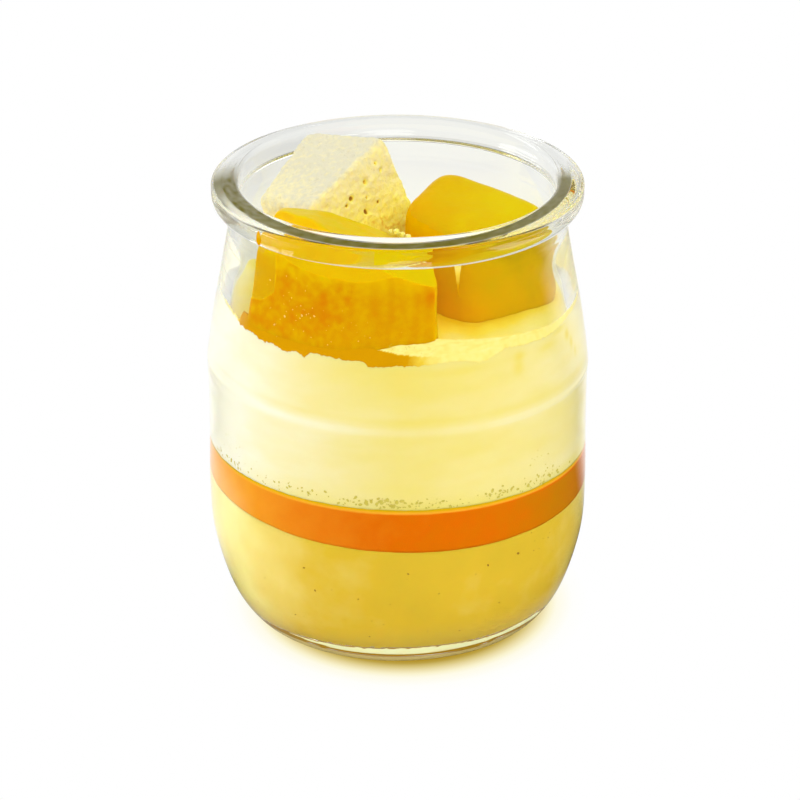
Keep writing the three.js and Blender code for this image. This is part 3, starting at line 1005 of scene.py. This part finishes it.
def mango(name, spec, node, n, tint, materials):
    """A mango chunk. materials are for its skin side, for what is pressed on the glass and for the rest."""
    points, faces = chopped(spec, n)
    points, normals = add_relief(points, faces, mango_relief)
    points = [hug(p) for p in points]
    if spec.get("on_glass"):
        points = [sunk_facet(p) for p in points]
    touching = [math.hypot(p.x, p.y) > wall_radius(p.z) - TOUCH_GAP for p in points]
    tints = [tint(p, normal, touch) for p, normal, touch in zip(points, normals, touching)]

    def pick(face):
        if all(touching[i] for i in face):
            return 1
        first = points[face[0]]
        skin = first.z > SKIN_ABOVE or first.y > SKIN_BEHIND
        return 0 if skin and sum(normals[i].z for i in face) > SKIN_FACING * len(face) else 2

    piece(name, points, faces, materials, tints, pick, node)


# The right edge of the grainy patch, by height.
PATCH_EDGE = [(60, -24.5), (63.8, -23.2), (66.8, -17.6), (73.2, -14.4)]


def front_tint(point, normal, touching):
    """Yellow above, orange lower down and grainy where it is pressed flat on the left. The yellow above and on
    faces that look up is painted light, a painted shade darkens the right end of the pressed face, and the
    facet's tint is painted light, yellower along its edge.
    """
    azimuth = azimuth_of(point.x, point.y)
    # The facet's tint is painted light, yellower along its edge.
    if inside_facet(point) > 0 and normal.z < 0.4:
        return 0.62 + 0.25 * bell(inside_facet(point), 0.3)
    if not touching:
        # Faces that look up are yellower: painted light from above.
        return 0.64 + 0.36 * max(0.0, normal.z) ** 3
    # Painted shade at the right end of the pressed face, and painted light higher up.
    end_shade = bell(point.x - 5.8, 1.6) * bell(point.z - 71.2, 1.6)
    tint = 0.54 + 0.20 * clamp((point.z - 70.5) / 3.5) - 0.3 * end_shade
    if azimuth < between(PATCH_EDGE, point.z):
        tint += 0.36 * octaves(point, (0.6, 2.2), (0.35, 0.9), (0.12, 0.4)) - 0.05
    else:
        tint += 0.10 * wobble(azimuth / 3.0, point.z / 9.0, 2.0)
    return tint


def right_tint(point, normal, touching):
    """Yellow on its upper right side, orange towards the lower left, where the orange's brightness is painted
    light on a face that lies in shade between the chunks.
    """
    return 0.22 + 0.42 * clamp((point.x - 2.0) / 18) + 0.36 * clamp((point.z - 62) / 14)


mango("mango_front_chunk", FRONT_MANGO, "mango_front", 104, front_tint, [mango_skin, mango_wall, mango_side])
mango("mango_right_chunk", RIGHT_MANGO, "mango_right", 56, right_tint, [right_skin, right_side, right_side])

# Larger pores that show in the cake's right face: place and radius.
CAKE_PORES = [
    ((-5.5, 4.3, 79), 0.75), ((-7.9, 0.7, 77.3), 0.72), ((-5.5, 2.7, 74.2), 0.68), ((-8.7, -0.5, 76.4), 0.5),
    ((-3.3, 5.2, 75.1), 0.42), ((-3, 7.7, 79.9), 0.5), ((-3.8, 7.3, 81.5), 0.45), ((-5.3, 3.7, 76.5), 0.4),
]
# Smallest and largest of the small pores, which stay light, and how many there are.
SMALL_PORES = (0.18, 0.38)
SMALL_PORE_COUNT = 150


def sponge():
    points, faces = chopped(SPONGE_CUBE, 96)
    draw = random.Random(7)
    pores = []
    for place, size in CAKE_PORES:
        centre = Vector(place)
        pores.append((min(points, key=lambda p: (p - centre).length_squared), size))
    for _ in range(SMALL_PORE_COUNT):
        centre = points[draw.randrange(len(points))]
        pores.append((centre, draw.uniform(*SMALL_PORES)))
    # How deep a point lies in a large pore sets a painted shade there.
    shade = []  # by point: how deep it is in a large pore

    def relief(point):
        depth = octaves(point, (0.28, 4.0), (0.22, 1.4), (0.13, 0.55), (0.09, 0.3))
        shade.append(0.0)
        for centre, size in pores:
            gap = (point - centre).length
            if gap < size:
                hollow = 1 - (gap / size) ** 2
                depth -= size * 0.8 * hollow
                if size > SMALL_PORES[1]:
                    shade[-1] = hollow
        return depth

    moved, normals = add_relief(points, faces, relief)
    tints = []
    for point, normal, hollow in zip(moved, normals, shade):
        # Lower down the crumb is soaked with juice. Faces that look right get yellower as painted bounce light
        # from the mango, and deep in a large pore the tint is painted shade.
        soaked = 0.36 * clamp((80.5 - point.z) / 9)
        right = 0.36 * max(0.0, normal.x * 0.9 - normal.y * 0.45)
        tints.append(min(0.78, soaked + right) + 0.9 * max(0.0, hollow - 0.3))
    piece("sponge_cake_cube", moved, faces, [sponge_skin], tints, node="sponge_cube")


sponge()

# Crumbs of cake at the back of the front mango: place and radius.
CRUMBS = [
    ((-1.2, -12.3, 76.6), 0.46), ((-0.2, -12.4, 76.5), 0.66), ((0.8, -12.6, 76.1), 0.6),
    ((1.7, -12.8, 75.7), 0.68), ((2.6, -13, 75.2), 0.56), ((3.4, -13.2, 74.8), 0.42),
    ((0.3, -13.5, 75.7), 0.34), ((4.3, -13.4, 74.4), 0.34),
]


def crumbs():
    points, faces, tints = [], [], []
    block, block_faces = cube_grid(7)
    for number, (place, size) in enumerate(CRUMBS):
        first = len(points)
        for p in block:
            unit = Vector(p).normalized()
            bulge = 1 + 0.5 * noise.noise(unit * 1.6 + Vector((number * 7, 0, 0))) + 0.25 * noise.noise(unit * 4)
            points.append(Vector(place) + unit * size * 0.78 * bulge)
            tints.append(0.6 + 0.2 * noise.noise(unit * 2))
        faces += [tuple(first + i for i in face) for face in block_faces]
    piece("cake_crumbs", points, faces, [sponge_skin], tints)


crumbs()

# A drop of juice on the lip's outer face: azimuth, radius and height, and half sizes.
DROP_AZIMUTH = -46.1
DROP_CENTRE = (32.2, 79.45)
DROP_SIZE = (0.55, 0.24, 1.3)


def drop():
    points, faces = cube_grid(8)
    angle = math.radians(DROP_AZIMUTH)
    across = Vector((math.cos(angle), math.sin(angle), 0))
    out = Vector((math.sin(angle), -math.cos(angle), 0))
    up = Vector((0, 0, 1))
    radius, height = DROP_CENTRE
    wide, deep, tall = DROP_SIZE
    shaped = []
    for p in points:
        unit = Vector(p).normalized()
        narrow = 1.0 - 0.25 * unit.z
        shaped.append(out * (radius + unit.y * deep) + across * (unit.x * wide * narrow)
                      + up * (height + unit.z * tall))
    piece("juice_drop_on_lip", shaped, faces, [juice_skin], [0.85] * len(shaped))


drop()


# ---- stage, light, camera
def sorted_rays(tree):
    """Values that are 1 for a ray from the camera, for one through glass, for one just mirrored off a
    surface, and for one that leaves glass after it has been mirrored inside it."""
    path = add(tree, "LightPath").outputs
    through = path["Is Transmission Ray"]
    mirrored = arithmetic(tree, "SUBTRACT", path["Is Glossy Ray"], through, clamped=True)
    bounced = arithmetic(tree, "GREATER_THAN", path["Glossy Depth"], 0.5)
    return path["Is Camera Ray"], through, mirrored, arithmetic(tree, "MULTIPLY", through, bounced)


def falloff(tree, value, start, end, low, high):
    """low before start, high after end, and a smooth step between them."""
    return add(tree, "MapRange", {"interpolation_type": "SMOOTHSTEP"}, Value=value, From_Min=start,
               From_Max=end, To_Min=low, To_Max=high).outputs["Result"]


def layered(tree, shown, layers):
    """What is shown, overlaid with each (when, what) in turn."""
    for when, what in layers:
        shown = blend(tree, when, shown, what)
    return shown


# The painted glow and painted contact shadow on the paper, by distance from its centre as a share of its end, in
# metres.
GLOW_CENTRE = (0.0012, -0.0003, 0)
GLOW_NARROWING = (1.08, 1, 1)
GLOW_END = 0.05
PAINTED_GLOW_COLOURS = [
    (0.44, (0.36, 0.2, 0.003)), (0.475, (0.43, 0.25, 0.008)), (0.5, (0.51, 0.36, 0.06)),
    (0.525, (0.7, 0.57, 0.21)), (0.55, (0.85, 0.74, 0.41)), (0.575, (0.96, 0.9, 0.62)),
    (0.6, (1, 0.97, 0.81)), (0.66, (1, 1, 0.97)), (0.72, (1, 1, 1)),
]
PAINTED_UNDER_GLASS_COLOURS = [(0.45, (0.92, 0.9, 0.58)), (0.6, (0.96, 0.94, 0.72)), (0.9, (0.99, 0.99, 1))]
PAPER = (0.93, 0.93, 0.93, 1)


def floor_material():
    """White paper. The camera sees it glow white, with a painted glow and a painted contact shadow round the
    jar's foot that stand for light which has come through the food.
    Through the glass and in reflections it shows painted light as well; its front part stays dark in
    reflections, as if a black card lay there."""
    material, tree, surface = new_material("white_floor")
    seen, through, mirrored, inside = sorted_rays(tree)
    place = add(tree, "TexCoord").outputs["Object"]
    axes = add(tree, "SeparateXYZ", Vector=place).outputs
    x, y = axes["X"], axes["Y"]
    offset = add(tree, "VectorMath", {"operation": "SUBTRACT"}, (place, GLOW_CENTRE)).outputs["Vector"]
    offset = add(tree, "VectorMath", {"operation": "MULTIPLY"}, (offset, GLOW_NARROWING)).outputs["Vector"]
    away = add(tree, "VectorMath", {"operation": "LENGTH"}, (offset,)).outputs["Value"]
    share = arithmetic(tree, "DIVIDE", away, GLOW_END)
    painted_glow, painted_under_glass = (ramp(tree, share, stops) for stops in (PAINTED_GLOW_COLOURS, PAINTED_UNDER_GLASS_COLOURS))

    def product(value, steps, other, other_steps):
        """Two falloffs, each from a value and its (start, end, low, high), at once."""
        return arithmetic(tree, "MULTIPLY", falloff(tree, value, *steps), falloff(tree, other, *other_steps))

    def light(colour, first, *others):
        """An emission as strong as the strongest of the values."""
        for other in others:
            first = arithmetic(tree, "MAXIMUM", first, other)
        return add(tree, "Emission", Color=colour, Strength=first).outputs[0]

    # Painted reflections: mirrored off the glass, the paper shows far off, beside, under and straight behind the
    # jar.
    far = product(y, (0.055, 0.12, 0.04, 0.95), y, (0.11, 0.2, 1.0, 0.5))
    leaning = arithmetic(tree, "SUBTRACT", y, arithmetic(tree, "MULTIPLY", x, 0.35))
    beside = product(away, (0.085, 0.11, 0.95, 0.0), leaning, (0.006, 0.040, 0.0, 1.0))
    under = falloff(tree, away, 0.031, 0.040, 0.4, 0.0)
    behind = product(y, (0.045, 0.07, 0.0, 0.95), arithmetic(tree, "ABSOLUTE", x), (0.06, 0.10, 1.0, 0.0))
    card = light(painted_glow, far, beside, under, behind)
    # Painted reflections: mirrored inside the glass, it shows at the back, round the foot and close behind the
    # jar.
    back = product(y, (0.06, 0.13, 0.05, 0.93), x, (-0.05, -0.01, 0.8, 1.0))
    foot = falloff(tree, away, 0.03, 0.042, 0.95, 0.0)
    close = product(away, (0.06, 0.085, 0.95, 0.0), y, (0.0, 0.02, 0.0, 1.0))
    # Straight through the glass it shows painted light that stands for light through the food, a little darker
    # on the left.
    clear = light(painted_under_glass, falloff(tree, x, -0.06, -0.01, 0.78, 0.96))
    # The camera sees the paper glow with the painted glow and painted contact shadow.
    shown = layered(tree, add(tree, "BsdfDiffuse", Color=PAPER).outputs[0], (
        (mirrored, card), (through, clear), (inside, light(painted_under_glass, back, foot, close)),
        (seen, light(painted_glow, 1.0))))
    tree.links.new(shown, surface)
    return material


def make_floor(half):
    """A square sheet. half is half its side, in metres."""
    mesh = bpy.data.meshes.new("floor")
    corners = [(x * half, y * half, 0) for x, y in ((-1, -1), (1, -1), (1, 1), (-1, 1))]
    mesh.from_pydata(corners, [], [(0, 1, 2, 3)])
    mesh.materials.append(floor_material())
    obj = new_object("floor", mesh)


make_floor(half=3.0)

# What the lights aim at and how wide they are, in metres.
AIM = Vector((0, 0, 0.04))
SOFTBOX_WIDTH = 0.6


def softbox(name, place, strength):
    """A round soft light. strength 1 alone lights a white card that faces it to full white."""
    light = bpy.data.lights.new(name, "AREA")
    light.shape = "DISK"
    light.size = SOFTBOX_WIDTH
    aim = AIM - Vector(place)
    light.energy = strength * math.pi ** 2 * aim.length_squared
    obj = new_object(name, light)
    obj.location = place
    obj.rotation_euler = aim.to_track_quat("-Z", "Y").to_euler()
    obj.visible_glossy = False


softbox("key_left", (-0.85, 0.05, 0.4), 0.42)
softbox("top_right", (0.5, -0.35, 0.84), 0.35)
softbox("front_top", (0.1, -0.85, 0.6), 0.20)
softbox("top_back", (0.1, 0.45, 0.85), 0.25)

# How bright the world is as a light, through glass and to the camera.
AMBIENT, THROUGH_GLASS, BACKDROP = 0.69, 1.0, 1.1


def studio_world():
    """White to the camera and through glass, soft grey as a light, dark at the front in reflections."""
    world = bpy.data.worlds.new("studio")
    bpy.context.scene.world = world
    world.use_nodes = True
    tree = world.node_tree
    tree.nodes.clear()
    seen, through, mirrored, inside = sorted_rays(tree)
    axes = add(tree, "SeparateXYZ", Vector=add(tree, "TexCoord").outputs["Generated"]).outputs
    deep = falloff(tree, axes["Y"], 0.0, 0.65, 0.05, 1.1)
    reflected = arithmetic(tree, "MULTIPLY", falloff(tree, axes["Y"], -0.1, 0.8, 0.05, 1.0),
                           falloff(tree, axes["Z"], 0.1, 0.45, 1.0, 0.15))

    def backdrop(strength):
        return add(tree, "Background", Strength=strength).outputs[0]

    shown = layered(tree, backdrop(AMBIENT), (
        (through, backdrop(THROUGH_GLASS)), (inside, backdrop(deep)), (mirrored, backdrop(reflected)),
        (seen, backdrop(BACKDROP))))
    tree.links.new(shown, add(tree, "OutputWorld").inputs["Surface"])


studio_world()

# The camera: fitted to the jar's rim and base, in metres.
CAMERA_DISTANCE = 0.6254
CAMERA_RISE = math.radians(25.03)
CAMERA_TARGET = Vector((0, 0, 0.03849))
FOCAL_PIXELS = 3523.1
IMAGE_WIDTH = 800
SHIFT_PIXELS = (2.3, 4)
SENSOR = 36.0

camera_data = bpy.data.cameras.new("camera")
camera_data.sensor_width = SENSOR
camera_data.lens = FOCAL_PIXELS * SENSOR / IMAGE_WIDTH
camera_data.shift_x, camera_data.shift_y = (pixels / IMAGE_WIDTH for pixels in SHIFT_PIXELS)
camera_data.clip_start = 0.01
camera_data.clip_end = 20
camera = new_object("camera", camera_data)
direction = Vector((0, -math.cos(CAMERA_RISE), math.sin(CAMERA_RISE)))
camera.location = CAMERA_TARGET + direction * CAMERA_DISTANCE
camera.rotation_euler = (-direction).to_track_quat("-Z", "Y").to_euler()
bpy.context.scene.camera = camera

scene = bpy.context.scene
scene.view_settings.view_transform = "Standard"
scene.cycles.max_bounces = 32
scene.cycles.glossy_bounces = 24
scene.cycles.transmission_bounces = 24
scene.cycles.transparent_max_bounces = 16
